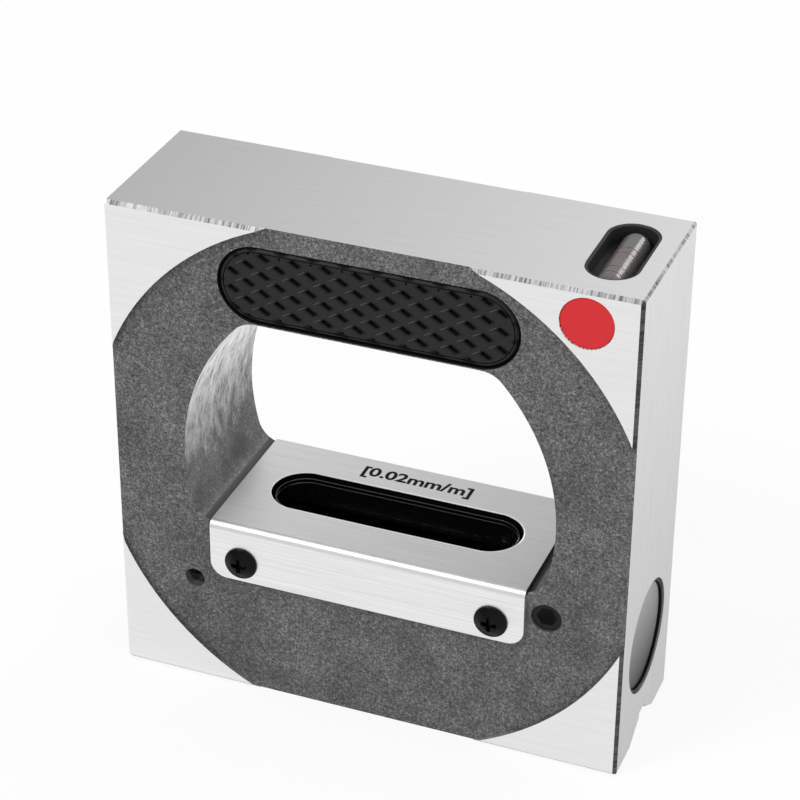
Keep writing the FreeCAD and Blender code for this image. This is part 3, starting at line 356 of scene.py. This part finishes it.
def clear_shell(name, tint):
    """Thin clear glass that shows what it holds."""
    wiring = Wiring(name)
    clear = wiring.node("ShaderNodeBsdfTransparent")
    wiring.feed(clear.inputs["Color"], shade(tint))
    gloss = wiring.node("ShaderNodeBsdfGlossy")
    wiring.feed(gloss.inputs["Roughness"], 0.06)
    edge = wiring.node("ShaderNodeFresnel")
    wiring.feed(edge.inputs["IOR"], 1.45)
    mixed = wiring.node("ShaderNodeMixShader")
    wiring.feed(mixed.inputs[0], edge.outputs[0])
    wiring.feed(mixed.inputs[1], clear.outputs[0])
    wiring.feed(mixed.inputs[2], gloss.outputs[0])
    wiring.feed(wiring.output.inputs["Surface"], mixed.outputs[0])
    return wiring.material


def misty_glass():
    """Glass of the small vial, its back silvered so that it reads grey against the black."""
    wiring = Wiring("misty_glass")
    clear = wiring.node("ShaderNodeBsdfTransparent")
    body = wiring.node("ShaderNodeBsdfPrincipled")
    wiring.feed(body.inputs["Base Color"], shade((0.17, 0.165, 0.16)))
    wiring.feed(body.inputs["Roughness"], 0.2)
    mixed = wiring.node("ShaderNodeMixShader")
    wiring.feed(mixed.inputs[0], 0.7)
    wiring.feed(mixed.inputs[1], clear.outputs[0])
    wiring.feed(mixed.inputs[2], body.outputs[0])
    wiring.feed(wiring.output.inputs["Surface"], mixed.outputs[0])
    return wiring.material


# ---------------------------------------------------------------- giving nodes their finish
def give(node, material):
    """One finish all over a solid."""
    mesh = NODES[node].data
    mesh.materials.clear()
    mesh.materials.append(material)


def zone_of(middle, normal):
    """Which finish a facet of the casting has, from its place and the way it faces."""
    across = max(abs(normal.x), abs(normal.y), abs(normal.z))
    at_end = abs(middle.x) > HALF_SIDE - EDGE_CHAMFER
    at_level = middle.z > TOP - EDGE_CHAMFER or middle.z < EDGE_CHAMFER
    at_face = abs(middle.y) > HALF_DEPTH - EDGE_CHAMFER
    eased = across < 0.9 and (at_end + at_level + at_face) >= 2
    if eased:
        if at_end and at_face:
            # painted shade: the right upright edges alone get a dark tone, and the left ones
            # keep the ground face finish
            return "upright_edge_painted_shade" if middle.x > 0 else "ground_face"
        return "long_edge" if at_face else "cross_edge"
    if abs(normal.y) > 0.9 and abs(middle.y) > HALF_DEPTH - FACE_SLACK:
        return "ground_face"
    if abs(normal.x) > 0.9 and abs(middle.x) > HALF_SIDE - FACE_SLACK:
        return "ground_end"
    if abs(normal.z) > 0.9 and (middle.z > TOP - FACE_SLACK or middle.z < FACE_SLACK):
        return "ground_level"
    if middle.z < VEE_ROOT and abs(normal.y) < 0.9:
        return "ground_level"
    # painted shade: the walls of the grip pockets are made near black
    around_grip = GRIP_LOW.z - GRIP_ROOM < middle.z < GRIP_HIGH.z + GRIP_ROOM
    if around_grip and FACE_SLACK < CAST_DEPTH - abs(middle.y) < POCKET_DEPTH:
        return "pocket_painted_shade"
    # painted light: the wall round the red plug gets a pale, mostly diffuse tone that stands in
    # for a lit recess wall
    beside_plug = (Vector((middle.x, middle.z)) - PLUG_MIDDLE).length < PLUG_REACH
    if beside_plug and middle.y < 0:
        return "plug_wall_painted_light"
    in_window = WINDOW_FLOOR < middle.z < WINDOW_ROOF and abs(middle.x) < WINDOW_REACH
    if in_window and abs(normal.y) < 0.1 and abs(middle.y) < CAST_DEPTH:
        return "window_wall"
    if abs(middle.y) > CAST_DEPTH - POCKET_BEVEL:
        return "cast_iron"
    return "bored_metal"


def dress_casting():
    """The casting has ground, painted, dressed and bored areas, facet by facet."""
    # Painted light and shade: each ground face drifts in tone along one of its axes, and the
    # ends are darker towards the bottom.
    face_light_drift = ("X", -HALF_SIDE, HALF_SIDE, 1.0, 0.98)
    top_light_drift = ("X", -HALF_SIDE, HALF_SIDE, 0.87, 1.13)
    height_shade_drift = ("Z", 0.0, TOP, 0.72, 1.0)
    finishes = {
        # The three ground finishes are one steel; their different tones are painted light and
        # shade of each face.
        "ground_face": ground_steel("ground_face", (30, 30, 1600), 0.85, face_light_drift),
        "ground_end": ground_steel("ground_end", (30, 900, 60), 0.76, height_shade_drift),
        "ground_level": ground_steel("ground_level", (60, 1200, 60), 0.8, top_light_drift),
        "cast_iron": cast_iron(),
        "long_edge": eased_edge("long_edge", (1500, 60, 60), 0.1, 0.46),
        "cross_edge": eased_edge("cross_edge", (60, 900, 60), 0.06, 0.5),
        # painted shade: a dark tone for the right upright edges only
        "upright_edge_painted_shade": eased_edge("upright_edge_painted_shade", (60, 60, 900), 0.012, 0.09),
        "window_wall": window_wall(),
        "bored_metal": bored_metal(),
        # painted light: a pale tone for the wall of the plug's recess
        "plug_wall_painted_light": plain("plug_wall_painted_light", 0.8, 0.6, 0.2),
        # painted shade: near black for the walls of the grip pockets
        "pocket_painted_shade": plain("pocket_painted_shade", 0.003, 0.8, 0.0, Specular_IOR_Level=0.1),
    }
    mesh = NODES["frame_body"].data
    mesh.materials.clear()
    order = list(finishes)
    for name in order:
        mesh.materials.append(finishes[name])
    for facet in mesh.polygons:
        facet.material_index = order.index(zone_of(facet.center, facet.normal))


def dress_socket(node, body, wall, reach):
    """A screw is black all over, and the walls of its recess are worn bright."""
    low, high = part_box(node)
    middle = (low + high) / 2
    front = low.y if middle.y < 0 else high.y
    mesh = NODES[node].data
    mesh.materials.clear()
    mesh.materials.append(body)
    mesh.materials.append(wall)
    for facet in mesh.polygons:
        off = facet.center - middle
        central = math.hypot(off.x, off.z) < reach
        near_front = FACE_SLACK < abs(facet.center.y - front) < SOCKET_DEPTH
        facet.material_index = 1 if central and near_front and abs(facet.normal.y) < 0.6 else 0


def dress_plate(moulding):
    """The plate is brushed, softer at its bends with a darker tone there that is painted shade,
    and the wall of its slot is blackened.
    """
    finishes = {
        # painted light and shade: the start and end tones of the drift along each brushed part
        "top": brushed_sheet("brushed_top", 0.98, 0.66),
        "flange": brushed_sheet("brushed_flange", 0.92, 0.9),
        # painted shade: the bends get a darker tone than the rest of the sheet
        "bend": plain("brushed_bend", 0.7, 0.45, 1.0),
        "slot_wall": moulding,
    }
    mesh = NODES["cover_plate"].data
    mesh.materials.clear()
    order = list(finishes)
    for name in order:
        mesh.materials.append(finishes[name])
    for facet in mesh.polygons:
        facet.material_index = order.index(plate_zone(facet.center, facet.normal))


def plate_zone(middle, normal):
    """Which finish a facet of the folded plate has."""
    steep = abs(normal.z)
    inside = abs(middle.x) < SLOT_REACH and abs(middle.y) < SLOT_BREADTH
    if inside and steep < 0.5:
        return "slot_wall"
    if steep > 0.98:
        return "top"
    bent = steep > 0.02 and abs(normal.y) > 0.02
    return "bend" if bent and middle.z > PLATE_HIGH.z - BEND_ROOM else "flange"


def dress_solids():
    """Every other solid has one finish all over."""
    screw = plain("black_screw", 0.002, 0.25, 0.0, Specular_IOR_Level=0.12)
    worn = plain("worn_recess", 0.22, 0.14, 1.0)
    key_wall = plain("key_wall", 0.5, 0.2, 1.0)
    matt_black = plain("matt_holder", 0.02, 0.5, 0.0, Specular_IOR_Level=0.3)
    moulding = plain("black_moulding", 0.003, 0.14, 0.0, Specular_IOR_Level=0.3)
    sleeve = plain("black_sleeve", 0.002, 0.45, 0.0, Specular_IOR_Level=0.12)
    cap = cap_steel()
    brass = plain("carrier_brass", (0.62, 0.43, 0.16), 0.34, 1.0)
    steel = plain("adjusting_steel", 0.004, 0.2, 0.0, Specular_IOR_Level=0.2)
    spring = plain("spring_steel", 0.4, 0.25, 1.0)
    plaster = plain("bedding_plaster", (0.78, 0.76, 0.7), 0.7)
    red = plain("red_moulding", (0.6, 0.02, 0.025), 0.5, 0.0, Specular_IOR_Level=0.25)
    bubble = plain("bubble_air", (0.8, 0.86, 0.84), 0.1)
    liquid = plain("vial_liquid", (0.16, 0.17, 0.15), 0.25)
    glass = clear_shell("vial_glass", (0.93, 0.97, 0.95))
    dress_plate(moulding)
    for side in ("front_left", "front_right", "rear_left", "rear_right"):
        dress_socket("cover_screw_" + side, screw, worn, RECESS_REACH)
    give("front_grip", grip_rubber("front_rubber", 1))
    give("rear_grip", grip_rubber("rear_rubber", -1))
    give("slot_liner", moulding)
    give("cross_vial_holder", matt_black)
    give("vial_sleeve", sleeve)
    for node in ("end_cap_left", "end_cap_right"):
        give(node, cap)
    give("vial_carrier", brass)
    give("cross_lock_screw", steel)
    for node in ("pivot_screw_front", "pivot_screw_rear", "zero_adjuster"):
        dress_socket(node, steel, key_wall, KEY_REACH)
    give("carrier_spring", spring)
    for node in ("vial_bedding_left", "vial_bedding_right"):
        give(node, plaster)
    give("red_plug", red)
    for node in ("main_bubble", "cross_bubble"):
        give(node, bubble)
    for node in ("main_vial_liquid", "cross_vial_liquid"):
        give(node, liquid)
    give("main_vial_glass", glass)
    give("cross_vial_glass", misty_glass())


# ---------------------------------------------------------------- making new pieces
def clear_selection():
    bpy.ops.object.select_all(action="DESELECT")


def settle(piece):
    """The piece's place goes into its mesh, and its object back to the origin."""
    clear_selection()
    piece.select_set(True)
    bpy.context.view_layer.objects.active = piece
    bpy.ops.object.transform_apply(location=True, rotation=True, scale=True)


def hand_over(piece, name, material, body):
    """Name, finish, body and slot of a finished piece."""
    piece.name = name
    piece.data.name = name
    piece.data.materials.clear()
    piece.data.materials.append(material)
    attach(piece, body)
    return piece


def apply_all(piece):
    bpy.context.view_layer.objects.active = piece
    for modifier in list(piece.modifiers):
        bpy.ops.object.modifier_apply(modifier=modifier.name)


def sensitivity_mark(ink):
    """The sensitivity of the main vial, printed behind the sight slot."""
    clear_selection()
    bpy.ops.object.text_add(location=(0, 0, 0))
    mark = bpy.context.object
    mark.data.body = MARK_TEXT
    mark.data.align_x = "CENTER"
    mark.data.align_y = "CENTER"
    mark.data.offset = 0.03
    mark.data.extrude = 0.01
    bpy.ops.object.convert(target="MESH")
    mark = bpy.context.object
    width, height = mark.dimensions.x, mark.dimensions.y
    mark.scale = (MARK_LENGTH / width, MARK_HEIGHT / height, MARK_RELIEF / mark.dimensions.z)
    mark.location = (MARK_MIDDLE.x, MARK_MIDDLE.y, PLATE_HIGH.z)
    settle(mark)
    return hand_over(mark, "sensitivity_mark", ink, "frame")


def slot_bead(name, half_width, height, radius, material):
    """A fine bead that follows the round-ended slot at some height."""
    clear_selection()
    bpy.ops.curve.primitive_bezier_circle_add(radius=half_width, location=(0, 0, 0))
    bpy.ops.object.convert(target="MESH")
    bead = bpy.context.object
    straight = SLOT_HALF_LENGTH - SLOT_HALF_WIDTH
    for corner in bead.data.vertices:
        if abs(corner.co.x) > FACE_SLACK:
            corner.co.x += math.copysign(straight, corner.co.x)
    bpy.ops.object.convert(target="CURVE")
    bead = bpy.context.object
    bead.data.bevel_depth = radius
    bead.data.bevel_resolution = 2
    bpy.ops.object.convert(target="MESH")
    bead = bpy.context.object
    bead.location = (0, 0, height)
    settle(bead)
    return hand_over(bead, name, material, "frame")


def slot_beads():
    """The broken edge round the plate's slot, whose near-white tone is a painted highlight, and
    two fine ridges inside its liner.
    """
    # painted highlight: the near-white tone of the slot's broken edge
    edge = plain("slot_edge", 0.95, 0.35, 0.5)
    ridge = plain("liner_ridge", 0.01, 0.16, 0.0, Specular_IOR_Level=0.8)
    lift = PLATE_HIGH.z - SLOT_EDGE_RADIUS * 0.7
    slot_bead("slot_edge", SLOT_HALF_WIDTH, lift, SLOT_EDGE_RADIUS, edge)
    for number, depth in enumerate(LINER_BEAD_DEPTHS, 1):
        slot_bead("liner_ridge_%d" % number, SLOT_HALF_WIDTH - LINER_WALL, PLATE_HIGH.z - depth,
                  LINER_BEAD_RADIUS, ridge)


def vial_line(name, middle, along_y, radius, width, ink, body):
    """One fine line round the upper half of a vial."""
    clear_selection()
    turn = (math.pi / 2, 0, 0) if along_y else (0, math.pi / 2, 0)
    bpy.ops.mesh.primitive_cylinder_add(
        vertices=LINE_SEGMENTS, radius=radius + LINE_SKIN, depth=width,
        end_fill_type="NOTHING", location=middle, rotation=turn)
    line = bpy.context.object
    settle(line)
    bpy.ops.object.mode_set(mode="EDIT")
    bpy.ops.mesh.select_all(action="SELECT")
    bpy.ops.mesh.bisect(plane_co=middle, plane_no=(0, 0, 1), clear_inner=True)
    bpy.ops.object.mode_set(mode="OBJECT")
    skin = line.modifiers.new("ink", "SOLIDIFY")
    skin.thickness = LINE_SKIN
    apply_all(line)
    return hand_over(line, name, ink, body)


def cross_lines(ink):
    low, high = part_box("cross_vial_glass")
    middle, radius = (low + high) / 2, (high.x - low.x) / 2
    for number, place in enumerate(CROSS_LINE_PLACES, 1):
        spot = Vector((middle.x, place, middle.z))
        vial_line("cross_line_%d" % number, spot, True, radius, CROSS_LINE_WIDTH, ink, "frame")


def main_lines(ink):
    low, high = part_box("main_vial_glass")
    middle, radius = (low + high) / 2, (high.y - low.y) / 2
    for count in range(MAIN_LINES_A_SIDE):
        reach = MAIN_LINE_FIRST + count * MAIN_LINE_STEP
        for side, sign in (("left", -1), ("right", 1)):
            spot = Vector((middle.x + sign * reach, middle.y, middle.z))
            name = "main_line_%s_%d" % (side, count + 1)
            vial_line(name, spot, False, radius, MAIN_LINE_WIDTH, ink, "vial_unit")


def grip_ribs(side, sign, rubber):
    """Fine slanting ribs beside the pits of a grip, one rib shaped and then copied."""
    low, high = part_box(side + "_grip")
    middle = (low + high) / 2
    face = low.y if sign < 0 else high.y
    clear_selection()
    bpy.ops.mesh.primitive_cube_add(size=1.0, location=(0, 0, 0))
    first = bpy.context.object
    first.scale = (RIB_LENGTH, RIB_HEIGHT, RIB_WIDTH)
    settle(first)
    bevel = first.modifiers.new("crown", "BEVEL")
    bevel.width = RIB_WIDTH * 0.4
    bevel.segments = 2
    apply_all(first)
    first.rotation_euler = (0, -sign * -RIB_SLOPE, 0)
    settle(first)
    ribs = [first]
    for across, up in rib_places():
        rib = first.copy()
        rib.data = first.data.copy()
        bpy.context.scene.collection.objects.link(rib)
        rib.location = (middle.x - sign * across, face, middle.z + up)
        ribs.append(rib)
    bpy.data.objects.remove(ribs.pop(0))
    clear_selection()
    for rib in ribs:
        rib.select_set(True)
    bpy.context.view_layer.objects.active = ribs[0]
    bpy.ops.object.join()
    joined = bpy.context.object
    settle(joined)
    return hand_over(joined, side + "_grip_ribs", rubber, "frame")


def rib_places():
    """Middles of the ribs, from the grip's middle, where the field has room for them."""
    places = []
    for column in range(PIT_COLUMNS):
        for stagger, rows in ((0.0, (1, 0, -1, -2)), (0.5, (0.5, -0.5, -1.5))):
            for row in rows:
                across = (column + stagger) * PIT_PITCH - PIT_FIRST - RIB_BESIDE
                up = PIT_SHIFT + row * PIT_ROW + RIB_ABOVE
                cap = max(abs(across) - FIELD_STRAIGHT, 0)
                if math.hypot(cap, up) < FIELD_REACH:
                    places.append((across, up))
    return places


# ---------------------------------------------------------------- studio
def pale_floor():
    clear_selection()
    bpy.ops.mesh.primitive_plane_add(size=2 * FLOOR_HALF, location=(0, 0, -0.02 * MM))
    floor = bpy.context.object
    floor.name = "floor"
    wiring = Wiring("pale_floor")
    paper = wiring.node("ShaderNodeBsdfDiffuse")
    wiring.feed(paper.inputs["Color"], shade(0.86))
    glow = wiring.node("ShaderNodeEmission")
    wiring.feed(glow.inputs["Color"], shade(1.0))
    light = wiring.node("ShaderNodeLightPath")
    shows = wiring.math("ADD", light.outputs["Is Camera Ray"], light.outputs["Is Glossy Ray"])
    shows = wiring.math("ADD", shows, light.outputs["Is Transmission Ray"])
    share = wiring.math("MINIMUM", wiring.math("MULTIPLY", shows, FLOOR_GLOW), FLOOR_GLOW)
    mixed = wiring.node("ShaderNodeMixShader")
    wiring.feed(mixed.inputs[0], share)
    wiring.feed(mixed.inputs[1], paper.outputs[0])
    wiring.feed(mixed.inputs[2], glow.outputs[0])
    wiring.feed(wiring.output.inputs["Surface"], mixed.outputs[0])
    floor.data.materials.append(wiring.material)


def studio_world():
    world = bpy.data.worlds.new("studio")
    bpy.context.scene.world = world
    world.use_nodes = True
    tree = world.node_tree
    tree.nodes.clear()
    output = tree.nodes.new("ShaderNodeOutputWorld")
    lit = tree.nodes.new("ShaderNodeBackground")
    lit.inputs["Color"].default_value = shade(1.0)
    heading = tree.nodes.new("ShaderNodeTexCoord")
    parts = tree.nodes.new("ShaderNodeSeparateXYZ")
    tree.links.new(heading.outputs["Generated"], parts.inputs[0])
    span = tree.nodes.new("ShaderNodeMapRange")
    tree.links.new(parts.outputs["X"], span.inputs["Value"])
    span.inputs["From Min"].default_value = -0.7
    span.inputs["From Max"].default_value = 0.3
    span.inputs["To Min"].default_value = ROOM_LEFT
    span.inputs["To Max"].default_value = ROOM_RIGHT
    tree.links.new(span.outputs["Result"], lit.inputs["Strength"])
    tree.links.new(lit.outputs[0], output.inputs["Surface"])


def soft_light(name, place, size, power):
    """A square soft box turned to the object's middle."""
    lamp = bpy.data.lights.new(name, "AREA")
    lamp.shape = "SQUARE"
    lamp.size = size
    lamp.energy = power
    holder = bpy.data.objects.new(name, lamp)
    bpy.context.scene.collection.objects.link(holder)
    holder.location = place
    aim = Vector((0, 0, TOP / 2)) - Vector(place)
    holder.rotation_euler = aim.to_track_quat("-Z", "Y").to_euler()


def studio():
    pale_floor()
    studio_world()
    soft_light("key_box", (-0.7, -0.9, 1.3), 0.5, 12)
    soft_light("back_box", (0.45, 1.1, 0.7), 0.35, 2.5)
    bpy.context.scene.view_settings.view_transform = "Standard"


def set_camera():
    lens = bpy.data.cameras.new("camera")
    lens.lens = CAMERA_LENS
    lens.sensor_width = CAMERA_SENSOR
    lens.clip_start = 0.01
    holder = bpy.data.objects.new("camera", lens)
    bpy.context.scene.collection.objects.link(holder)
    back = CAMERA_RIGHT.cross(CAMERA_UP)
    turn = holder.matrix_world.to_3x3()
    turn.col[0] = CAMERA_RIGHT
    turn.col[1] = CAMERA_UP
    turn.col[2] = back
    holder.matrix_world = turn.to_4x4()
    holder.location = CAMERA_PLACE
    bpy.context.scene.camera = holder


dress_casting()
dress_solids()
black_ink = plain("black_ink", 0.002, 0.5, 0.0, Specular_IOR_Level=0.1)
red_ink = plain("red_ink", (0.16, 0.012, 0.018), 0.4)
sensitivity_mark(black_ink)
cross_lines(red_ink)
main_lines(black_ink)
slot_beads()
# painted highlight: the ribs are lighter than the grip rubber so that they read as bright
# streaks
rib_highlight_rubber = plain("rib_highlight_rubber", 0.05, 0.4)
grip_ribs("front", -1, rib_highlight_rubber)
grip_ribs("rear", 1, rib_highlight_rubber)
studio()
set_camera()
